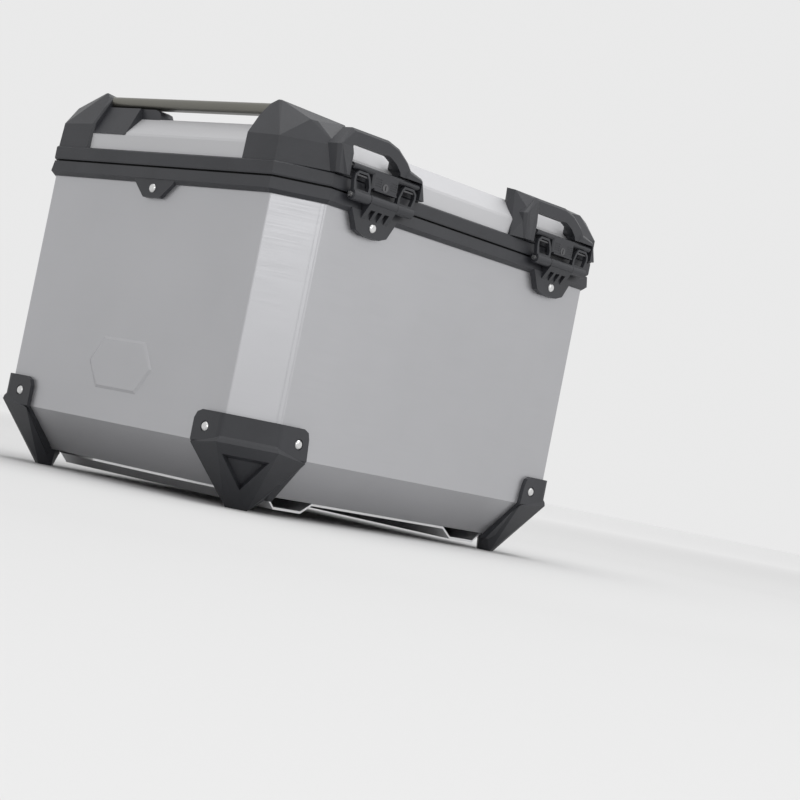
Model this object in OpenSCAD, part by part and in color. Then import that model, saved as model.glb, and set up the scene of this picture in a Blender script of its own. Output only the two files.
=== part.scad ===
// Aluminium motorcycle top case with moulded corner and frame parts.
// +Z is up, +X is the latch side that opens, -Y is the rear face.
// The origin is on the ground under the middle of the case.

/* [Case] */
// Width of the sheet metal body, latch side to latch side
body_w = 335; // [325:1:350]
// Length of the sheet metal body, rear face to front face
body_l = 410; // [400:1:430]
// Size of the upright corner chamfers
corner_c = 32; // [30:1:36]
// Thickness of the aluminium sheet
sheet_t = 1.8; // [1.5:0.1:2.2]
// Outside radius of the folded upright edges
fold_r = 3; // [2.5:0.5:4]
// Height of the flat bottom above the ground
bottom_z = 15; // [14:0.5:16]
// Height at which the walls start to slope in
bend_z = 48.5; // [46:0.5:52]
// How far the bottom is inset from the latch sides
bottom_in_x = 31; // [29:1:33]
// How far the bottom is inset from the rear and front
bottom_in_y = 38; // [36:1:40]

/* [Frames] */
// Height of the joint between body and lid
seam_z = 264.8; // [262:0.2:268]
// Open gap between the two black frames
seam_gap = 1.6; // [1.4:0.1:2]
// Height of each black frame
frame_h = 11.6; // [11:0.2:12.4]
// How far the frames stand proud of the sheet
frame_proud = 4; // [3.5:0.1:4.5]

/* [Lid] */
// Height of the folded crease above the seam
crease_up = 27.2; // [26.5:0.1:28]
// Height of the lid bevel
bevel_h = 17; // [16:0.5:18]
// Width of the lid bevel in plan
bevel_in = 16; // [15:0.5:17]
// Height of the carry bars
bar_h = 9.5; // [8.5:0.5:10]
// Width of the carry bars
bar_w = 15; // [13:1:16]

/* [Latches] */
// Distance of each latch from the middle of its side
latch_y = 121.5; // [120:0.5:123]
// Radius of the hinge pins under the loops
pin_r = 2; // [1.8:0.1:2.2]
// Running clearance of pins in their bores
run_gap = 0.05; // [0.03:0.01:0.08]

/* [Mounting] */
// Bolt spacing across the case
bolt_x = 200; // [190:1:210]
// Bolt spacing along the case
bolt_y = 228; // [224:1:232]
// Radius of the bolt holes
bolt_r = 3.25; // [3.1:0.05:3.4]

/* [Hidden] */

// half sizes of the sheet metal body
hx = body_w / 2;
hy = body_l / 2;
// a chamfered outline that grows by g gets a chamfer longer by this much per millimetre
c_grow = 2 - sqrt(2);
overlap = 0.01;

// heights of the frames
body_frame_top = seam_z - seam_gap / 2;
body_frame_low = body_frame_top - frame_h;
lid_frame_low = seam_z + seam_gap / 2;
lid_frame_top = lid_frame_low + frame_h;
frame_inside = 4.6;
sheet_top = body_frame_top - 2;
sheet_lid_low = lid_frame_low + 2.6;

// heights of the lid
crease_z = seam_z + crease_up;
lid_z = crease_z + bevel_h;

// carry bars
bar_z = lid_z + 14;
bar_y = hy - 22;
bar_end_x = 112;

// latch geometry, measured outwards from the latch side of the sheet
pin_out = 10;
pin_z = seam_z - 0.8;
barrel_r = 4.5;
barrel_half = 16;
knuckle_in = 16.4;
knuckle_out = 36.2;
lever_out = 8.2;
lever_z = seam_z + 22;
lever_half = 15.6;
lever_low = seam_z + 7.6;
lever_barrel_r = 2.6;
lever_pin_r = 1.2;
flange_half = 40;
recess_low_y = -43.5;
recess_high_y = 42;
recess_out = 4.2;
recess_top = seam_z + 26.1;
arch_out = 9.7;
foot_out = 11.4;
rod_z = seam_z + 15.6;
rod_r = 1.1;
lock_r = 3.4;
lock_z = seam_z + 12.2;

// rivets and screws
rivet_r = 2.4;
rivet_head_r = 3.7;
rivet_head_h = 1.4;
protector_t = 4;
protector_top = 73.6;
protector_rivet_z = 60.5;

// ---------- outlines ----------

// octagon: a rectangle with chamfered corners
function outline(w, l, c) = [
    [w / 2, -l / 2 + c], [w / 2, l / 2 - c], [w / 2 - c, l / 2], [-w / 2 + c, l / 2],
    [-w / 2, l / 2 - c], [-w / 2, -l / 2 + c], [-w / 2 + c, -l / 2], [w / 2 - c, -l / 2]
];

// the body outline grown outwards by g
function grown(g) = outline(body_w + 2 * g, body_l + 2 * g, corner_c + c_grow * g);

// the outline of the flat bottom grown outwards by g
function bottom_grown(g) = outline(
    body_w - 2 * bottom_in_x + 2 * g, body_l - 2 * bottom_in_y + 2 * g, 24 + c_grow * g
);

// the same outline with its corners folded to a radius
module folded(points, r) {
    offset(r = r, $fn = 24)
        offset(delta = -r)
            polygon(points);
}

module slab(points, z0, z1) {
    translate([0, 0, z0])
        linear_extrude(z1 - z0)
            polygon(points);
}

module folded_slab(points, r, z0, z1) {
    translate([0, 0, z0])
        linear_extrude(z1 - z0)
            folded(points, r);
}

// straight taper between two outlines
module taper(low_points, high_points, z0, z1) {
    skin = 0.01;
    hull() {
        slab(low_points, z0, z0 + skin);
        slab(high_points, z1 - skin, z1);
    }
}

// round bar along Y with its centre at [x, z], between y0 and y1
module bar_along_y(x, z, r, y0, y1) {
    translate([x, y0, z])
        rotate([-90, 0, 0])
            cylinder(h = y1 - y0, r = r, $fn = 48);
}

// plate whose outline is given in Y and Z, between x0 and x1
module plate_yz(points, x0, x1) {
    translate([x0, 0, 0])
        rotate([90, 0, 90])
            linear_extrude(x1 - x0)
                polygon(points);
}

// plate whose outline is given in X and Z, between y0 and y1
module plate_xz(points, y0, y1) {
    translate([0, y1, 0])
        rotate([90, 0, 0])
            linear_extrude(y1 - y0)
                polygon(points);
}

// convex block with corners at the given points
module block(points) {
    hull()
        polyhedron(points = points, faces = [[for (i = [0:len(points) - 1]) i]]);
}

// places its children at one of the four corners: sx and sy are 1 or -1
module at_corner(sx, sy) {
    mirror([sx < 0 ? 1 : 0, 0, 0])
        mirror([0, sy < 0 ? 1 : 0, 0])
            children();
}

// places its children on the +X side (sx = 1) or, turned half a turn, on the -X side
module on_side(sx) {
    rotate([0, 0, sx < 0 ? 180 : 0])
        children();
}

// ---------- case ----------

// outside of the body grown by g, from the bottom to the given height
module body_solid(g, top) {
    union() {
        taper(bottom_grown(g), grown(g), bottom_z - g, bend_z);
        folded_slab(grown(g), fold_r + g, bend_z - overlap, top);
    }
}

// hollow of the body
module body_hollow() {
    taper(bottom_grown(-sheet_t), grown(-sheet_t), bottom_z + sheet_t, bend_z);
    folded_slab(grown(-sheet_t), fold_r - sheet_t, bend_z - overlap, sheet_top + 1);
}

// plain raised panel with bevelled edges on the rear face
module rear_stamping() {
    stamp_w = 40;
    stamp_h = 22;
    stamp_z = 97;
    stamp_proud = 1.2;
    stamp_bevel = 2.4;
    block([
        for (level = [[0, -hy + overlap], [stamp_bevel, -hy - stamp_proud]])
            for (side = [-1, 1])
                each [
                    [side * (stamp_w - level[0]), level[1], stamp_z],
                    [side * (stamp_w - 14 - level[0]), level[1], stamp_z - stamp_h + level[0]],
                    [side * (stamp_w - 14 - level[0]), level[1], stamp_z + stamp_h - level[0]]
                ]
    ]);
}

// fine joint groove on each corner chamfer, beside the fold to the latch side
module joint_grooves() {
    groove_w = 0.9;
    groove_d = 0.6;
    groove_t = 18.6;
    for (sx = [-1, 1])
        for (sy = [-1, 1])
            at_corner(sx, sy)
                translate(chamfer_point(groove_t, -groove_d, bend_z + 2))
                    rotate([0, 0, -45])
                        translate([0, -groove_w / 2, 0])
                            cube([4, groove_w, sheet_top - bend_z]);
}

module body_rivet_positions() {
    for (sx = [-1, 1])
        for (y = [-145, 0, 145])
            translate([sx * 62, y, 0])
                children();
}

module case_body() {
    color("silver")
        difference() {
            union() {
                body_solid(0, sheet_top);
                rear_stamping();
            }
            body_hollow();
            joint_grooves();
            body_rivet_positions()
                translate([0, 0, bottom_z - 1])
                    cylinder(h = 4, r = rivet_r, $fn = 32);
            frame_rivet_holes();
            at_protector_rivets()
                translate([0, 0, -4])
                    cylinder(h = 8, r = rivet_r, $fn = 32);
        }
}

// stamped mounting plate under the body, with two lowered channels for the bolts
plate_t = 2;
channel_drop = 8;
channel_in = [86, 98];
channel_out = [130, 139];
plate_y = 166;
plate_x = 134;

function channel_side(s, z) = [
    [s * channel_in[0], z], [s * channel_in[1], z - channel_drop],
    [s * channel_out[0], z - channel_drop], [s * channel_out[1], z]
];

// outline of the base plate grown by g
function plate_outline(g) = [
    [56, -plate_y - g], [plate_x + g, -144 - g], [plate_x + g, 144 + g], [56, plate_y + g],
    [-56, plate_y + g], [-plate_x - g, 144 + g], [-plate_x - g, -144 - g], [-56, -plate_y - g]
];

module base_plate() {
    low = bottom_z - plate_t;
    right_top = channel_side(1, bottom_z);
    right_low = channel_side(1, low);
    profile = concat(
        [[-plate_y, bottom_z], [-channel_out[1], bottom_z]],
        [for (i = [2:-1:1]) [-right_top[i][0], right_top[i][1]]],
        [[-channel_in[0], bottom_z]],
        right_top,
        [[plate_y, bottom_z], [plate_y, low]],
        [for (i = [3:-1:0]) right_low[i]],
        [for (i = [0:3]) [-right_low[i][0], right_low[i][1]]],
        [[-plate_y, low]]
    );
    color("gainsboro")
        difference() {
            intersection() {
                plate_yz(profile, -plate_x, plate_x);
                slab(plate_outline(0), 0, bottom_z + 1);
            }
            for (sx = [-1, 1])
                for (sy = [-1, 1])
                    translate([sx * bolt_x / 2, sy * bolt_y / 2, 0])
                        cylinder(h = bottom_z, r = bolt_r, $fn = 48);
            body_rivet_positions()
                cylinder(h = bottom_z + 1, r = rivet_r, $fn = 32);
        }
}

// domed rivet: shank up from z = 0, head below
module rivet(shank) {
    union() {
        cylinder(h = shank, r = rivet_r, $fn = 32);
        rotate([180, 0, 0])
            rotate_extrude($fn = 48)
                polygon([
                    [0, 0], [rivet_head_r, 0], [rivet_head_r, 0.4],
                    [rivet_head_r - 0.8, rivet_head_h - 0.2], [rivet_head_r - 1.6, rivet_head_h],
                    [0, rivet_head_h]
                ]);
    }
}

module base_rivets() {
    color("lightgrey")
        body_rivet_positions()
            translate([0, 0, bottom_z - plate_t])
                rivet(plate_t + sheet_t);
}

// ---------- body frame ----------

module frame_rivet_holes() {
    tab_rivet_z = seam_z - 18.3;
    latch_rivet_z = seam_z - 21.3;
    for (sy = [-1, 1]) {
        translate([0, sy * hy, tab_rivet_z])
            rotate([90, 0, 0])
                cylinder(h = 14, r = rivet_r, center = true, $fn = 32);
        for (sx = [-1, 1])
            translate([sx * (hx + 2), sy * latch_y, latch_rivet_z])
                rotate([0, 90, 0])
                    cylinder(h = 16, r = rivet_r, center = true, $fn = 32);
    }
}

module frame_rivets() {
    tab_rivet_z = seam_z - 18.3;
    latch_rivet_z = seam_z - 21.3;
    color("lightgrey") {
        for (sy = [-1, 1]) {
            translate([0, sy * (hy + frame_proud), tab_rivet_z])
                rotate([sy * 90, 0, 0])
                    rivet(frame_proud + sheet_t);
            for (sx = [-1, 1])
                translate([sx * (hx + 6), sy * latch_y, latch_rivet_z])
                    rotate([0, -sx * 90, 0])
                        rivet(6 + sheet_t);
        }
    }
}

// tab under one latch with the barrel that holds the hinge pin; y is its middle
module latch_tab(y) {
    tab_out = 6;
    z0 = body_frame_top;
    translate([0, y, 0])
        difference() {
            union() {
                plate_yz([
                    [-28, z0 - 9], [-18.5, z0 - 25.5], [-10, z0 - 28.6], [10, z0 - 28.6],
                    [18.5, z0 - 25.5], [28, z0 - 9]
                ], hx - overlap, hx + tab_out);
                plate_xz([
                    [hx + 1, z0 - 13], [hx + tab_out, z0 - 15.4], [hx + pin_out + barrel_r - 0.6, z0 - 3],
                    [hx + pin_out, pin_z], [hx + pin_out - barrel_r + 0.4, z0], [hx + 1, z0]
                ], -barrel_half, barrel_half);
                bar_along_y(hx + pin_out, pin_z, barrel_r, -barrel_half, barrel_half);
            }
            for (slot_y = [-8.5, 0, 8.5])
                translate([hx + tab_out, slot_y - 2.6, z0 - 17])
                    cube([12, 5.2, 9.5]);
            bar_along_y(hx + pin_out, pin_z, pin_r, -barrel_half - 1, barrel_half + 1);
        }
}

module body_frame() {
    z0 = body_frame_low;
    z1 = body_frame_top;
    color("dimgray")
        difference() {
            union() {
                taper(grown(1.2), grown(frame_proud + 0.8), z0 - 1, z0 + 2.2);
                taper(grown(frame_proud + 0.8), grown(frame_proud - 0.6), z0 + 2.2 - overlap, z1);
                for (sy = [-1, 1])
                    on_end(sy)
                        plate_xz([
                            [-26, z0 + 3], [-24, z0 - 1], [-10.5, z0 - 13.6], [10.5, z0 - 13.6],
                            [24, z0 - 1], [26, z0 + 3]
                        ], -hy - frame_proud, -hy + overlap);
                for (sx = [-1, 1])
                    on_side(sx)
                        for (sy = [-1, 1])
                            latch_tab(sy * latch_y);
            }
            slab(grown(-frame_inside), z0 - 40, z1 + 1);
            folded_slab(grown(0), fold_r, z0 - 40, z0 + 0.2);
            difference() {
                folded_slab(grown(0), fold_r, z0, sheet_top);
                folded_slab(grown(-sheet_t), fold_r - sheet_t, z0 - 1, sheet_top + 1);
            }
            frame_rivet_holes();
        }
}

// places its children on the rear (sy = -1) or, mirrored, on the front
module on_end(sy) {
    mirror([0, sy > 0 ? 1 : 0, 0])
        children();
}

module hinge_pins() {
    color("lightgrey")
        for (sx = [-1, 1])
            for (sy = [-1, 1])
                bar_along_y(
                    sx * (hx + pin_out), pin_z, pin_r,
                    sy * latch_y - knuckle_out - 2, sy * latch_y + knuckle_out + 2
                );
}

// ---------- bottom corner protectors ----------

// places its children on both protector rivets of the rear right corner, z pointing outwards
module protector_rivet_pair() {
    translate([hx - 48, -hy, protector_rivet_z])
        rotate([90, 0, 0])
            children();
    translate([hx, -hy + 51.5, protector_rivet_z])
        rotate([0, 90, 0])
            children();
}

module at_protector_rivets() {
    for (sx = [-1, 1])
        for (sy = [-1, 1])
            at_corner(sx, sy)
                protector_rivet_pair()
                    children();
}

// point near the rear right corner: t along the chamfer, o outwards from it, at height z
function chamfer_point(t, o, z) = [
    hx - corner_c / 2 + (o + t) / sqrt(2), -hy + corner_c / 2 + (t - o) / sqrt(2), z
];

// protector of the rear right corner
module protector() {
    ridge_z = bend_z + 2;
    ridge_out = protector_t + 1.8;
    ridge_half = 25;
    // the front of the wedge falls back from the ridge to a narrow nose
    nose_out = -25;
    nose_z = 7.5;
    fall = (ridge_out - nose_out) / (ridge_z - nose_z);
    difference() {
        union() {
            // sheath on the walls, with the upper tips cut
            intersection() {
                body_solid(protector_t, protector_top);
                union() {
                    plate_xz([
                        [hx - 55.5, bottom_z - 4], [hx - 62, bend_z - 1.5],
                        [hx - 62, protector_top - 7.6], [hx - 59.4, protector_top - 2.4],
                        [hx - 53.8, protector_top], [hx - corner_c + 1, protector_top],
                        [hx - corner_c + 1, bottom_z - 4]
                    ], -hy - 10, -hy + 34);
                    plate_yz([
                        [-hy + 65, bottom_z - 4], [-hy + 64, bend_z - 1.5],
                        [-hy + 62, protector_top - 7.6], [-hy + 60, protector_top - 2.4],
                        [-hy + 55, protector_top], [-hy + corner_c - 1, protector_top],
                        [-hy + corner_c - 1, bottom_z - 4]
                    ], hx - 34, hx + 10);
                    translate(chamfer_point(0, -24, bottom_z - 4))
                        rotate([0, 0, -45])
                            translate([0, -25, 0])
                                cube([36, 50, protector_top - bottom_z + 4]);
                }
            }
            // wedge that carries the case: ridge above, foot below
            block([
                chamfer_point(-ridge_half, ridge_out, ridge_z),
                chamfer_point(ridge_half, ridge_out, ridge_z),
                chamfer_point(-ridge_half + 1, ridge_out - 0.6, ridge_z + 3),
                chamfer_point(ridge_half - 1, ridge_out - 0.6, ridge_z + 3),
                chamfer_point(-ridge_half + 1.8, protector_t, ridge_z + 5),
                chamfer_point(ridge_half - 1.8, protector_t, ridge_z + 5),
                chamfer_point(-1.2, nose_out, nose_z),
                chamfer_point(1.2, nose_out, nose_z),
                chamfer_point(-1.2, nose_out - 5.5, 0),
                chamfer_point(1.2, nose_out - 5.5, 0),
                chamfer_point(-9, -34, 0),
                chamfer_point(9, -34, 0),
                chamfer_point(-6, -45, 0),
                chamfer_point(6, -45, 0),
                [hx - 61.5, -hy - protector_t + 0.3, bend_z - 2],
                [hx - 55.5, -hy + 33.5, bottom_z],
                [hx - 55.5, -hy + 42, bottom_z - 1],
                [hx + protector_t - 0.3, -hy + 63.5, bend_z - 2],
                [hx - 28, -hy + 64, bottom_z],
                [hx - 36, -hy + 64, bottom_z - 1]
            ]);
        }
        body_solid(0, sheet_top);
        slab(plate_outline(0.4), bottom_z - plate_t - 0.4, bottom_z + 1);
        // three-sided pocket in the front of the wedge
        block([
            chamfer_point(-19.8, ridge_out - fall * 8.2 + 1, ridge_z - 8.2),
            chamfer_point(19.8, ridge_out - fall * 8.2 + 1, ridge_z - 8.2),
            chamfer_point(0, ridge_out - fall * 35.4 + 1, ridge_z - 35.4),
            chamfer_point(-14.5, ridge_out - fall * 11 - 6.4, ridge_z - 11),
            chamfer_point(14.5, ridge_out - fall * 11 - 6.4, ridge_z - 11),
            chamfer_point(0, ridge_out - fall * 30.5 - 6.4, ridge_z - 30.5)
        ]);
        protector_rivet_pair()
            cylinder(h = 30, r = rivet_r, center = true, $fn = 32);
        protector_rivet_pair()
            translate([0, 0, protector_t - 0.6])
                cylinder(h = 4, r = rivet_head_r + 0.8, $fn = 48);
    }
}

module protector_rivets() {
    color("lightgrey")
        at_protector_rivets()
            translate([0, 0, protector_t - 0.6])
                rotate([180, 0, 0])
                    rivet(protector_t - 0.6 + sheet_t);
}

// ---------- lid ----------

module lid_outside(g, low) {
    folded_slab(grown(g), fold_r + g, low, crease_z + overlap);
    taper(grown(g), grown(g - bevel_in), crease_z, lid_z + g);
}

// lid pan with a narrow facet along its fold
module lid_shell() {
    fold_low = 1.3;
    fold_high = 1;
    color("silver")
        difference() {
            union() {
                folded_slab(grown(0), fold_r, sheet_lid_low, crease_z - fold_low + overlap);
                taper(grown(0), grown(-fold_high * bevel_in / bevel_h), crease_z - fold_low,
                    crease_z + fold_high);
                taper(grown(-fold_high * bevel_in / bevel_h), grown(-bevel_in),
                    crease_z + fold_high - overlap, lid_z);
            }
            folded_slab(grown(-sheet_t), fold_r - sheet_t, sheet_lid_low - 1, crease_z - 0.6);
            taper(grown(-sheet_t), grown(-sheet_t - bevel_in), crease_z - 0.7, lid_z - sheet_t);
            cap_screw_positions()
                cylinder(h = 20, r = 1.8, center = true, $fn = 24);
        }
}

module lid_frame() {
    z0 = lid_frame_low;
    z1 = lid_frame_top;
    color("dimgray")
        difference() {
            union() {
                taper(grown(frame_proud - 0.4), grown(frame_proud), z0, z0 + 1.2);
                slab(grown(frame_proud), z0 + 1.2 - overlap, z1 - 1.2);
                taper(grown(frame_proud), grown(frame_proud - 1.2), z1 - 1.2 - overlap, z1);
            }
            slab(grown(-frame_inside), z0 - 1, z1 + 1);
            difference() {
                folded_slab(grown(0), fold_r, sheet_lid_low, z1 + 1);
                folded_slab(grown(-sheet_t), fold_r - sheet_t, sheet_lid_low - 1, z1 + 2);
            }
            seal_ring(-0.4, -3.6, z0 - 1, z0 + 2);
        }
}

// ring between two grown outlines
module seal_ring(g_out, g_in, z0, z1) {
    difference() {
        slab(grown(g_out), z0, z1);
        slab(grown(g_in), z0 - 1, z1 + 1);
    }
}

module lid_seal() {
    lip_z = body_frame_top + 0.4;
    color("black")
        union() {
            seal_ring(-0.4, -3.6, lid_frame_low - 0.2, lid_frame_low + 2);
            seal_ring(-1.2, -2.8, lip_z, lid_frame_low);
        }
}

// arch over one latch: window for a strap above, recess for the lever and loops below
module arch(y) {
    z = seam_z;
    foot_z = lid_frame_top + 0.1;
    back = hx - 3;
    mid = hx + arch_out - 2.2;
    front = hx + arch_out;
    translate([0, y, 0])
        union() {
            block(concat(
                [for (x = [back, mid]) each [
                    [x, -56, foot_z], [x, -60, z + 34.5], [x, -47, z + 50.5], [x, -3, z + 50.8],
                    [x, 11, z + 47.3], [x, 24, z + 39.3], [x, 31.5, z + 32], [x, 31.5, foot_z]
                ]],
                [
                    [front, -54, foot_z], [front, -57, z + 35], [front, -45, z + 48.2],
                    [front, -3.6, z + 48.4], [front, 9.6, z + 45], [front, 22, z + 37.6],
                    [front, 30, z + 30], [front, 30, foot_z]
                ]
            ));
            block([
                [back, 16, foot_z], [back, 24, z + 35], [back, 44, z + 30.5], [back, 50.5, foot_z],
                [mid, 16, foot_z], [mid, 24, z + 35], [mid, 44, z + 30.5], [mid, 50.5, foot_z],
                [hx + foot_out, 18, foot_z], [hx + foot_out, 26, z + 31],
                [hx + foot_out, 42, z + 28], [hx + foot_out, 48, foot_z]
            ]);
        }
}

// what is cut out of a cap at one latch
module arch_cuts(y) {
    z = seam_z;
    translate([0, y, 0]) {
        // strap window, open to the lid bevel behind
        plate_yz([
            [-43.5, recess_top - 1], [-44, z + 37], [-41.5, z + 38.5], [0, z + 38.5],
            [9, z + 34.5], [15.5, z + 29], [17, recess_top - 1]
        ], hx - 30, hx + 20);
        // space between the arch and the bevel
        plate_xz([
            [hx + 2.5, crease_z], [hx + 2.5, z + 60], [hx - 40, z + 60], [hx - 40, lid_z - 6],
            [hx - 14, crease_z + 3], [hx - 2, crease_z]
        ], -40, 13);
        // recess for the lever and the loops
        plate_yz([
            [recess_low_y, lid_frame_top - 1], [recess_low_y, recess_top],
            [recess_high_y, recess_top], [recess_high_y, lid_frame_top - 1]
        ], hx + recess_out, hx + 20);
        lever_pin();
    }
}

// steel pin that carries a lever, held in both walls of the recess
module lever_pin() {
    bar_along_y(
        hx + lever_out, lever_z, lever_pin_r, recess_low_y - 3, recess_high_y + 2
    );
}

// faceted block over the rear right corner of the lid, with the socket end of the bar
module cap_corner() {
    z = seam_z;
    foot_z = lid_frame_top + 0.1;
    block([
        // foot
        [98.5, -hy - 2.8, foot_z], [136, -hy - 2.8, foot_z], [96.5, -hy, foot_z],
        [hx + 3.2, -hy + 29, foot_z], [hx + 3.2, -hy + 52, foot_z], [97.5, -hy + 44, foot_z],
        // top of the upright faces
        [98, -hy - 1.8, z + 34], [135.2, -hy - 2, z + 32.8], [96.2, -hy + 0.6, z + 35.5],
        [hx + 2.6, -hy + 28.6, z + 33.2], [hx + 2.6, -hy + 52, z + 33.2],
        // end of the bar
        [98, -hy + 7.6, z + 51], [101.5, -hy + 13.6, z + 61.6], [107.4, -hy + 15.8, z + 65.7],
        [110.4, -hy + 16.6, z + 65.6], [98, -hy + 16, z + 61.4], [98.5, -hy + 34, z + 61.4],
        [110, -hy + 36, z + 64.4],
        // top of the corner and ridge
        [146, -hy + 17.8, z + 51.2], [150.6, -hy + 21.8, z + 50.6], [hx - 8, -hy + 44, z + 53.2],
        [hx - 8, -hy + 52, z + 52.4], [hx - 20, -hy + 62, z + 52], [120, -hy + 68, z + 50],
        [98, -hy + 52, z + 44.5]
    ]);
}

// low web on the end bevel of the lid
module cap_web() {
    low_z = crease_z - 1;
    high_z = lid_z + 8.4;
    block([
        for (x = [54, 104])
            each [
                [x, -hy - 0.6, low_z], [x, -hy + 2, low_z], [x, -hy + 20, lid_z - 1],
                [x + 2.5, -hy + 13.4, high_z], [x + 2.5, -hy + 30, high_z]
            ]
    ]);
}

// short arm that runs on from the web on top of the lid
module cap_arm() {
    plate_xz([
        [100, lid_z - 1], [31.4, lid_z - 1], [31, lid_z + 3], [33.4, lid_z + 6.6],
        [39, lid_z + 8.4], [100, lid_z + 8.4]
    ], -hy + 15.5, -hy + 30);
}

module cap_screw_holes() {
    cap_screw_positions()
        cylinder(h = 20, r = 1.8, center = true, $fn = 24);
}

// short cap of the rear right corner; turned half a turn it is the front left one
module short_cap() {
    z = seam_z;
    foot_z = lid_frame_top + 0.1;
    difference() {
        union() {
            cap_corner();
            arch(-latch_y);
            // stepped foot beside the recess
            block([
                [hx - 3, -latch_y - 54, foot_z], [hx - 3, -latch_y - 42, foot_z],
                [hx - 3, -latch_y - 54, z + 34], [hx - 3, -latch_y - 42, z + 36],
                [hx + 3.2, -latch_y - 55, foot_z], [hx + 3.2, -latch_y - 55, z + 32.4],
                [hx + foot_out, -latch_y - 46, foot_z], [hx + foot_out, -latch_y - 46, z + 30.4],
                [hx + foot_out, -latch_y - 42, foot_z], [hx + foot_out, -latch_y - 42, z + 30.4],
                [hx + arch_out - 0.2, -latch_y - 57, z + 36], [hx + arch_out - 0.2, -latch_y - 42, z + 36]
            ]);
        }
        lid_outside(0, sheet_lid_low);
        arch_cuts(-latch_y);
        bar_socket();
        cap_screw_holes();
    }
}

// long cap of the front right corner; turned half a turn it is the rear left one
module long_cap() {
    z = seam_z;
    foot_z = lid_frame_top + 0.1;
    difference() {
        union() {
            mirror([0, 1, 0]) {
                cap_corner();
                cap_web();
                cap_arm();
            }
            arch(latch_y);
            // wing from the arch towards the middle of the side
            block([
                [hx + 2.8, latch_y - 67, foot_z], [hx + 2.8, latch_y - 62, z + 27],
                [hx + foot_out, latch_y - 49, foot_z], [hx + foot_out, latch_y - 48, z + 29.5],
                [hx + foot_out, latch_y - 43.5, foot_z], [hx + foot_out, latch_y - 43.5, z + 29.5],
                [hx + arch_out, latch_y - 54, z + 36], [hx + arch_out, latch_y - 45, z + 48.4],
                [hx - 7, latch_y - 60, z + 54], [hx - 16, latch_y - 61, z + 55.2],
                [hx - 15, latch_y - 40.5, z + 51.4], [hx + arch_out - 2.2, latch_y - 40, z + 50.6],
                [hx - 4, latch_y - 66, foot_z], [hx - 4, latch_y - 44, foot_z],
                [hx - 16, latch_y - 60, z + 40], [hx - 15, latch_y - 40.5, z + 40]
            ]);
        }
        lid_outside(0, sheet_lid_low);
        arch_cuts(latch_y);
        mirror([0, 1, 0])
            bar_socket();
        cap_screw_holes();
    }
}

// flat-oval section of the carry bar between x0 and x1, at the rear
module bar_section(x0, x1) {
    translate([x0, -bar_y, bar_z])
        rotate([90, 0, 90])
            linear_extrude(x1 - x0)
                hull()
                    for (side = [-1, 1])
                        translate([side * (bar_w - bar_h) / 2, 0])
                            circle(d = bar_h, $fn = 48);
}

module bar_socket() {
    bar_section(20, bar_end_x);
}

module carry_bar() {
    difference() {
        bar_section(-bar_end_x, bar_end_x);
        translate([-bar_end_x - 1, -bar_y, bar_z])
            rotate([90, 0, 90])
                linear_extrude(2 * bar_end_x + 2)
                    hull()
                        for (side = [-1, 1])
                            translate([side * (bar_w - bar_h) / 2, 0])
                                circle(d = bar_h - 3, $fn = 48);
    }
}

// screws that hold the caps from inside the lid
module cap_screw_positions() {
    for (sx = [-1, 1])
        for (sy = [-1, 1])
            at_corner(sx, sy) {
                translate([106, -hy + 40, lid_z])
                    children();
                translate([131, -hy + 37, lid_z])
                    children();
            }
}

module cap_screws() {
    head_h = 2;
    color("grey")
        cap_screw_positions()
            union() {
                translate([0, 0, -sheet_t - head_h])
                    cylinder(h = head_h, r = 3.4, $fn = 6);
                translate([0, 0, -sheet_t - overlap])
                    cylinder(h = sheet_t + 5, r = 1.8, $fn = 24);
            }
}

// ---------- latches ----------

// flap lever of one latch on the +X side, with its middle at y
module lever(y) {
    face = hx + 11.2;
    back = hx + 5.9;
    bevel = 1.4;
    translate([0, y, 0])
        difference() {
            union() {
                bar_along_y(hx + lever_out, lever_z, lever_barrel_r, -flange_half, flange_half);
                // flange over the tops of the loops
                plate_xz([
                    [face, lever_z - 0.6], [face, lever_z + 1], [face - bevel, lever_z + 2.2],
                    [back, lever_z + 2.2], [back, lever_z - 0.6]
                ], -flange_half, flange_half);
                block([
                    [back, -lever_half, lever_z + 1], [back, lever_half, lever_z + 1],
                    [face - bevel, -lever_half, lever_z + 1],
                    [face - bevel, lever_half, lever_z + 1],
                    [face, -lever_half + bevel, lever_z],
                    [face, lever_half - bevel, lever_z],
                    [face, -lever_half + bevel, lever_low + bevel],
                    [face, lever_half - bevel, lever_low + bevel],
                    [face - bevel, -lever_half, lever_low + 0.4],
                    [face - bevel, lever_half, lever_low + 0.4],
                    [back, -lever_half, lever_low], [back, lever_half, lever_low]
                ]);
                // finger lip along the lower edge
                plate_xz([
                    [face - 2, lever_low + 0.2], [face + 1.4, lever_low],
                    [face + 1.4, lever_low + 1.2], [face - 1, lever_low + 2.6]
                ], -lever_half + 2, lever_half - 2);
            }
            bar_along_y(
                hx + lever_out, lever_z, lever_pin_r + run_gap, -flange_half - 1, flange_half + 1
            );
            // grip lines
            for (line = [0:3])
                for (s = [-1, 1])
                    translate([face - 0.35, s > 0 ? lock_r + 2 : -lever_half + 2.5, 0])
                        translate([0, 0, lever_low + 4 + 1.9 * line])
                            cube([2, lever_half - lock_r - 4.5, 0.7]);
            translate([back - 1, 0, lock_z])
                rotate([0, 90, 0])
                    cylinder(h = 12, r = lock_r + run_gap, $fn = 48);
        }
}

// lock cylinder in a lever, with a key slot
module lock(y) {
    slot_w = 0.9;
    slot_h = 4.2;
    translate([hx + 5.9, y, lock_z])
        difference() {
            rotate([0, 90, 0])
                cylinder(h = 5.6, r = lock_r, $fn = 48);
            translate([3.2, -slot_w / 2, -slot_h / 2])
                cube([4, slot_w, slot_h]);
        }
}

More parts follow.
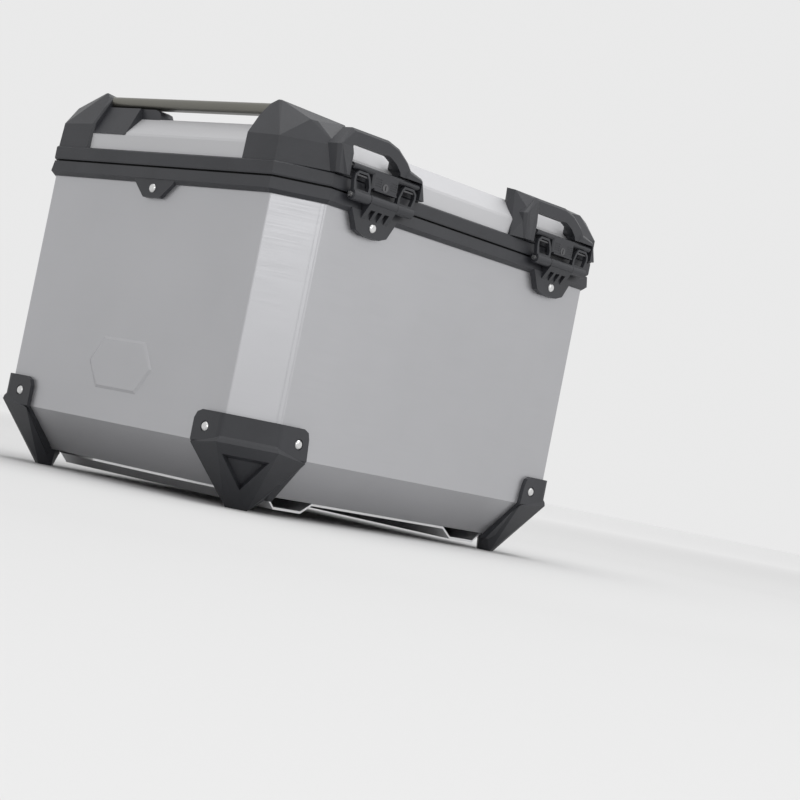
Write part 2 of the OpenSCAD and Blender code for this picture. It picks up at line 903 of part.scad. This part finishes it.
// one loop: knuckle on the hinge pin below, open frame above; s is its side of the lever
module loop(s) {
    z0 = pin_z;
    x0 = hx + pin_out - 1.9;
    x1 = hx + pin_out + 1.7;
    y0 = s > 0 ? knuckle_in : -knuckle_out;
    y1 = s > 0 ? knuckle_out : -knuckle_in;
    outside = [
        [knuckle_in, z0], [knuckle_in + 0.4, z0 + 9], [knuckle_in + 3.4, z0 + 16.6],
        [knuckle_in + 6, z0 + 19.8], [knuckle_out - 2.5, z0 + 19.8], [knuckle_out + 1.2, z0 + 16.4],
        [knuckle_out + 1.5, z0 + 12], [knuckle_out, z0 + 4], [knuckle_out, z0]
    ];
    window = [
        [knuckle_in + 3, z0 + 5.2], [knuckle_in + 2.6, z0 + 9], [knuckle_in + 5, z0 + 15.2],
        [knuckle_in + 7, z0 + 17.9], [knuckle_out - 3.4, z0 + 17.9], [knuckle_out - 0.8, z0 + 15.6],
        [knuckle_out - 0.6, z0 + 12.2], [knuckle_out - 3, z0 + 5.2]
    ];
    difference() {
        union() {
            on_loop_side(s)
                plate_yz(outside, x0, x1);
            bar_along_y(hx + pin_out, z0, barrel_r - 0.1, y0, y1);
        }
        on_loop_side(s)
            plate_yz(window, x0 - 10, x1 + 10);
        on_loop_side(s)
            rod();
        bar_along_y(hx + pin_out, z0, pin_r + run_gap, y0 - 1, y1 + 1);
    }
}

// steel rod across the upper end of a loop, which the lever clamps
module rod() {
    bar_along_y(hx + pin_out - 0.1, rod_z, rod_r, knuckle_in + 4.2, knuckle_out + 0.3);
}

module on_loop_side(s) {
    mirror([0, s < 0 ? 1 : 0, 0])
        children();
}

module loops(y) {
    translate([0, y, 0])
        for (s = [-1, 1])
            loop(s);
}

module rods(y) {
    translate([0, y, 0])
        for (s = [-1, 1])
            on_loop_side(s)
                rod();
}

module lever_pins() {
    color("lightgrey")
        for (sx = [-1, 1])
            on_side(sx)
                for (sy = [-1, 1])
                    translate([0, sy * latch_y, 0])
                        lever_pin();
}

module black_part() {
    color("dimgray")
        children();
}

module steel_part() {
    color("lightgrey")
        children();
}

case_body();
base_plate();
base_rivets();
body_frame();
frame_rivets();
black_part() protector();  // protector_rear_right
black_part() at_corner(-1, 1) protector();  // protector_rear_left
black_part() at_corner(1, -1) protector();  // protector_front_right
black_part() at_corner(-1, -1) protector();  // protector_front_left
protector_rivets();
hinge_pins();
lid_shell();
lid_frame();
lid_seal();
black_part() short_cap();  // lid_cap_rear_right
black_part() on_side(-1) long_cap();  // lid_cap_rear_left
black_part() long_cap();  // lid_cap_front_right
black_part() on_side(-1) short_cap();  // lid_cap_front_left
cap_screws();
color("tan") carry_bar();  // carry_bar_rear
color("tan") mirror([0, 1, 0]) carry_bar();  // carry_bar_front
black_part() lever(-latch_y);  // lever_rear_right
black_part() lever(latch_y);  // lever_front_right
black_part() on_side(-1) lever(latch_y);  // lever_rear_left
black_part() on_side(-1) lever(-latch_y);  // lever_front_left
lever_pins();
black_part() loops(-latch_y);  // loops_rear_right
black_part() loops(latch_y);  // loops_front_right
black_part() on_side(-1) loops(latch_y);  // loops_rear_left
black_part() on_side(-1) loops(-latch_y);  // loops_front_left
steel_part() rods(-latch_y);  // rods_rear_right
steel_part() rods(latch_y);  // rods_front_right
steel_part() on_side(-1) rods(latch_y);  // rods_rear_left
steel_part() on_side(-1) rods(-latch_y);  // rods_front_left
steel_part() lock(-latch_y);  // lock_rear_right
steel_part() lock(latch_y);  // lock_front_right
steel_part() on_side(-1) lock(latch_y);  // lock_rear_left
steel_part() on_side(-1) lock(-latch_y);  // lock_front_left
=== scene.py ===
"""Looks, light and camera for the motorcycle top case.

Metres, +Z up, in the frame of the CAD model. The case stands on a pale floor, and the
camera looks up at its rear right corner from just above the floor.
"""

import math

import bpy
from mathutils import Matrix, Vector

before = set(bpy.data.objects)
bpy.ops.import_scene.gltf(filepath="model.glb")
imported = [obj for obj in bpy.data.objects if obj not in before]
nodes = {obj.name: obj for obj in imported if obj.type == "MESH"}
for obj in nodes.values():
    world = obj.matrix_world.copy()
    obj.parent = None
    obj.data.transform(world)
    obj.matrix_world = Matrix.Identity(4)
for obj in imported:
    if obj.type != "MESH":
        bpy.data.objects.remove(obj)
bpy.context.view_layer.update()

# ---------------------------------------------------------------- settings

# noise values between these two are spread over a whole colour or roughness range
NOISE_LOW = 0.3
NOISE_HIGH = 0.7

# shades of a brushed sheet, as shares of its colour, and the share of the lines in them
SHEET_DARK = 0.955
SHEET_LIGHT = 1.035
LINE_SHARE = 0.45
# darkest shade of a bare metal, as a share of its colour
METAL_DARK = 0.93

# size of the soft clouds in each kind of surface, per metre
SHEET_CLOUD = 9.0
PLASTIC_CLOUD = 25.0
METAL_CLOUD = 60.0

# how far roughness goes below and above its stated value
SMOOTHER = 0.05
SHEET_ROUGHER = 0.07
ROUGHER = 0.08

# depth of the finest relief
SHEET_RELIEF = 0.00008
PLASTIC_RELIEF = 0.00018
METAL_RELIEF = 0.00005

# widths of the softened edges
SHEET_EDGE = 0.0004
MOULDED_EDGE = 0.0009
FRAME_EDGE = 0.0006
LATCH_EDGE = 0.0004
LOCK_EDGE = 0.0002
# only folds sharper than this get a softened edge
EDGE_ANGLE = math.radians(28)

# painted light on the floor: its colour gets paler away from the lights, standing in for the
# light that falls off there, so that it meets the backdrop evenly
FLOOR_HALF = 30.0
FLOOR_NEAR = (0.60, 0.60, 0.60)
FLOOR_FAR = (0.95, 0.95, 0.95)
FADE_START = 0.8
FADE_END = 4.5

SKY_STRENGTH = 0.82
# name, position, point it faces, size, watts
LIGHTS = (
    ("overhead", (0.2, 0.1, 2.2), (0.0, 0.0, 0.2), (2.0, 2.0), 27.0),
    ("side", (2.3, 0.5, 1.1), (0.0, 0.0, 0.25), (1.2, 1.0), 10.0),
    ("front", (1.9, -2.1, 0.9), (0.0, 0.0, 0.2), (0.9, 0.9), 6.0),
)

AZIMUTH = math.radians(41.77)
ELEVATION = math.radians(-1.97)
ROLL = math.radians(11.31)
LOOK = Vector((0.1306, 0.0, 0.1161))
DISTANCE = 1.76235
LENS = 91.74
SENSOR = 36.0

# ---------------------------------------------------------------- materials


def new_material(name):
    mat = bpy.data.materials.new(name)
    mat.use_nodes = True
    tree = mat.node_tree
    return mat, tree, tree.nodes["Principled BSDF"]


def noise(tree, scale, detail=3.0, rough=0.55):
    """Noise over object coordinates; scale is per metre, one number or (x, y, z)."""
    coords = tree.nodes.new("ShaderNodeTexCoord")
    mapping = tree.nodes.new("ShaderNodeMapping")
    per_metre = scale if isinstance(scale, tuple) else (scale, scale, scale)
    mapping.inputs["Scale"].default_value = per_metre
    tree.links.new(coords.outputs["Object"], mapping.inputs["Vector"])
    tex = tree.nodes.new("ShaderNodeTexNoise")
    tex.inputs["Scale"].default_value = 1.0
    tex.inputs["Detail"].default_value = detail
    tex.inputs["Roughness"].default_value = rough
    tree.links.new(mapping.outputs["Vector"], tex.inputs["Vector"])
    return tex.outputs["Fac"]


def remap(tree, value, low, high, start=NOISE_LOW, end=NOISE_HIGH):
    """Turn start to end into low to high."""
    node = tree.nodes.new("ShaderNodeMapRange")
    node.inputs["From Min"].default_value = start
    node.inputs["From Max"].default_value = end
    node.inputs["To Min"].default_value = low
    node.inputs["To Max"].default_value = high
    tree.links.new(value, node.inputs["Value"])
    return node.outputs["Result"]


def colour_mix(tree, value, dark, light):
    ramp = tree.nodes.new("ShaderNodeValToRGB")
    for stop, place, colour in zip(
        ramp.color_ramp.elements, (NOISE_LOW, NOISE_HIGH), (dark, light)
    ):
        stop.position = place
        stop.color = (*colour, 1.0)
    tree.links.new(value, ramp.inputs["Fac"])
    return ramp.outputs["Color"]


def bump(tree, shader, height, strength, distance):
    node = tree.nodes.new("ShaderNodeBump")
    node.inputs["Strength"].default_value = strength
    node.inputs["Distance"].default_value = distance
    tree.links.new(height, node.inputs["Height"])
    tree.links.new(node.outputs["Normal"], shader.inputs["Normal"])


def brushed(name, colour, metallic, rough, grain, strength):
    """Satin sheet with fine brushing lines; grain is the noise scale along X, Y and Z."""
    mat, tree, shader = new_material(name)
    lines = noise(tree, grain, 2.0, 0.6)
    cloud = noise(tree, SHEET_CLOUD)
    mixed = tree.nodes.new("ShaderNodeMath")
    mixed.operation = "MULTIPLY_ADD"
    mixed.inputs[1].default_value = LINE_SHARE
    tree.links.new(lines, mixed.inputs[0])
    scaled = tree.nodes.new("ShaderNodeMath")
    scaled.operation = "MULTIPLY"
    scaled.inputs[1].default_value = 1.0 - LINE_SHARE
    tree.links.new(cloud, scaled.inputs[0])
    tree.links.new(scaled.outputs[0], mixed.inputs[2])
    dark = tuple(c * SHEET_DARK for c in colour)
    light = tuple(min(1.0, c * SHEET_LIGHT) for c in colour)
    shade = colour_mix(tree, mixed.outputs[0], dark, light)
    tree.links.new(shade, shader.inputs["Base Color"])
    gloss = remap(tree, lines, rough - SMOOTHER, rough + SHEET_ROUGHER)
    tree.links.new(gloss, shader.inputs["Roughness"])
    shader.inputs["Metallic"].default_value = metallic
    bump(tree, shader, lines, strength, SHEET_RELIEF)
    return mat


def plastic(name, dark, light, rough, grain, strength):
    """Moulded plastic or rubber with an even eroded grain."""
    mat, tree, shader = new_material(name)
    fine = noise(tree, grain, 2.0, 0.5)
    cloud = noise(tree, PLASTIC_CLOUD)
    tree.links.new(colour_mix(tree, cloud, dark, light), shader.inputs["Base Color"])
    gloss = remap(tree, fine, rough - SMOOTHER, rough + ROUGHER)
    tree.links.new(gloss, shader.inputs["Roughness"])
    shader.inputs["Specular IOR Level"].default_value = 0.5
    bump(tree, shader, fine, strength, PLASTIC_RELIEF)
    return mat


def metal(name, colour, rough):
    """Bare steel of a small turned or pressed piece."""
    mat, tree, shader = new_material(name)
    fine = noise(tree, 600.0, 2.0)
    cloud = noise(tree, METAL_CLOUD, 2.0)
    dark = tuple(c * METAL_DARK for c in colour)
    tree.links.new(colour_mix(tree, cloud, dark, colour), shader.inputs["Base Color"])
    gloss = remap(tree, fine, rough - SMOOTHER, rough + ROUGHER)
    tree.links.new(gloss, shader.inputs["Roughness"])
    shader.inputs["Metallic"].default_value = 1.0
    bump(tree, shader, fine, 0.12, METAL_RELIEF)
    return mat


# a small scale runs along the brushing lines, a large one across them
sheet = brushed(
    "brushed_sheet", (0.468, 0.469, 0.485), 0.78, 0.38, (18.0, 18.0, 1500.0), 0.10
)
lid_sheet = brushed(
    "lid_sheet", (0.535, 0.535, 0.548), 0.62, 0.50, (18.0, 1500.0, 1500.0), 0.10
)
plate = brushed("plate_aluminium", (0.74, 0.74, 0.75), 0.9, 0.34, (900.0, 14.0, 900.0), 0.12)
bar = brushed("bar_aluminium", (0.19, 0.186, 0.165), 0.9, 0.36, (14.0, 1400.0, 1400.0), 0.12)
black = plastic(
    "black_plastic", (0.020, 0.021, 0.025), (0.027, 0.028, 0.033), 0.44, 1500.0, 0.30
)
rubber = plastic("seal_rubber", (0.010, 0.010, 0.010), (0.016, 0.016, 0.016), 0.7, 900.0, 0.2)
steel = metal("bright_steel", (0.72, 0.72, 0.72), 0.28)
dark_steel = metal("dark_steel", (0.13, 0.13, 0.135), 0.45)

# the first row with a word that is in a node's name gives its material and edge
LOOKS = (
    (("case_body",), sheet, SHEET_EDGE),
    (("lid_shell",), lid_sheet, SHEET_EDGE),
    (("base_plate",), plate, SHEET_EDGE),
    (("carry_bar",), bar, 0.0),
    (("lid_seal",), rubber, 0.0),
    (("lock_",), dark_steel, LOCK_EDGE),
    (("rods_",), dark_steel, 0.0),
    (("rivets", "pins", "cap_screws"), steel, 0.0),
    (("protector_", "lid_cap_"), black, MOULDED_EDGE),
    (("lever_", "loops_"), black, LATCH_EDGE),
    (("body_frame", "lid_frame"), black, FRAME_EDGE),
)

for node_name, obj in nodes.items():
    material, edge = next(
        (material, edge)
        for words, material, edge in LOOKS
        if any(word in node_name for word in words)
    )
    obj.data.materials.clear()
    obj.data.materials.append(material)
    if edge:
        soft = obj.modifiers.new("edge", "BEVEL")
        soft.width = edge
        soft.segments = 2
        soft.limit_method = "ANGLE"
        soft.angle_limit = EDGE_ANGLE
        soft.harden_normals = False

# ---------------------------------------------------------------- floor

corners = ((-1, -1), (1, -1), (1, 1), (-1, 1))
floor_mesh = bpy.data.meshes.new("floor")
floor_mesh.from_pydata(
    [(sx * FLOOR_HALF, sy * FLOOR_HALF, 0.0) for sx, sy in corners], [], [(0, 1, 2, 3)]
)
floor = bpy.data.objects.new("floor", floor_mesh)
bpy.context.collection.objects.link(floor)

floor_mat, floor_tree, floor_shader = new_material("floor")
floor_coords = floor_tree.nodes.new("ShaderNodeTexCoord")
distance = floor_tree.nodes.new("ShaderNodeVectorMath")
distance.operation = "LENGTH"
floor_tree.links.new(floor_coords.outputs["Object"], distance.inputs[0])
# painted brightening: the floor's colour grows paler with distance, in place of the lamp
# light that does not reach so far
painted_light_fade = remap(
    floor_tree, distance.outputs["Value"], NOISE_LOW, NOISE_HIGH, FADE_START, FADE_END
)
floor_tree.links.new(
    colour_mix(floor_tree, painted_light_fade, FLOOR_NEAR, FLOOR_FAR), floor_shader.inputs["Base Color"]
)
floor_shader.inputs["Roughness"].default_value = 0.9
floor_shader.inputs["Specular IOR Level"].default_value = 0.1
floor.data.materials.append(floor_mat)

# ---------------------------------------------------------------- light

world = bpy.data.worlds.new("studio")
bpy.context.scene.world = world
world.use_nodes = True
world.node_tree.nodes["Background"].inputs["Color"].default_value = (1.0, 1.0, 1.0, 1.0)
world.node_tree.nodes["Background"].inputs["Strength"].default_value = SKY_STRENGTH


def area(name, position, target, size, watts):
    light = bpy.data.lights.new(name, "AREA")
    light.shape = "RECTANGLE"
    light.size, light.size_y = size
    light.energy = watts
    obj = bpy.data.objects.new(name, light)
    obj.location = position
    aim = Vector(target) - Vector(position)
    obj.rotation_euler = aim.to_track_quat("-Z", "Y").to_euler()
    bpy.context.collection.objects.link(obj)


for settings in LIGHTS:
    area(*settings)

# ---------------------------------------------------------------- camera

back = Vector((
    math.sin(AZIMUTH) * math.cos(ELEVATION),
    -math.cos(AZIMUTH) * math.cos(ELEVATION),
    math.sin(ELEVATION),
))
level_right = Vector((math.cos(AZIMUTH), math.sin(AZIMUTH), 0.0))
level_up = back.cross(level_right)
right = math.cos(ROLL) * level_right + math.sin(ROLL) * level_up
up = -math.sin(ROLL) * level_right + math.cos(ROLL) * level_up
spot = LOOK + DISTANCE * back

cam_data = bpy.data.cameras.new("camera")
cam_data.lens = LENS
cam_data.sensor_width = SENSOR
camera = bpy.data.objects.new("camera", cam_data)
camera.matrix_world = Matrix((
    (right.x, up.x, back.x, spot.x),
    (right.y, up.y, back.y, spot.y),
    (right.z, up.z, back.z, spot.z),
    (0.0, 0.0, 0.0, 1.0),
))
bpy.context.collection.objects.link(camera)
bpy.context.scene.camera = camera
bpy.context.scene.view_settings.view_transform = "Standard"
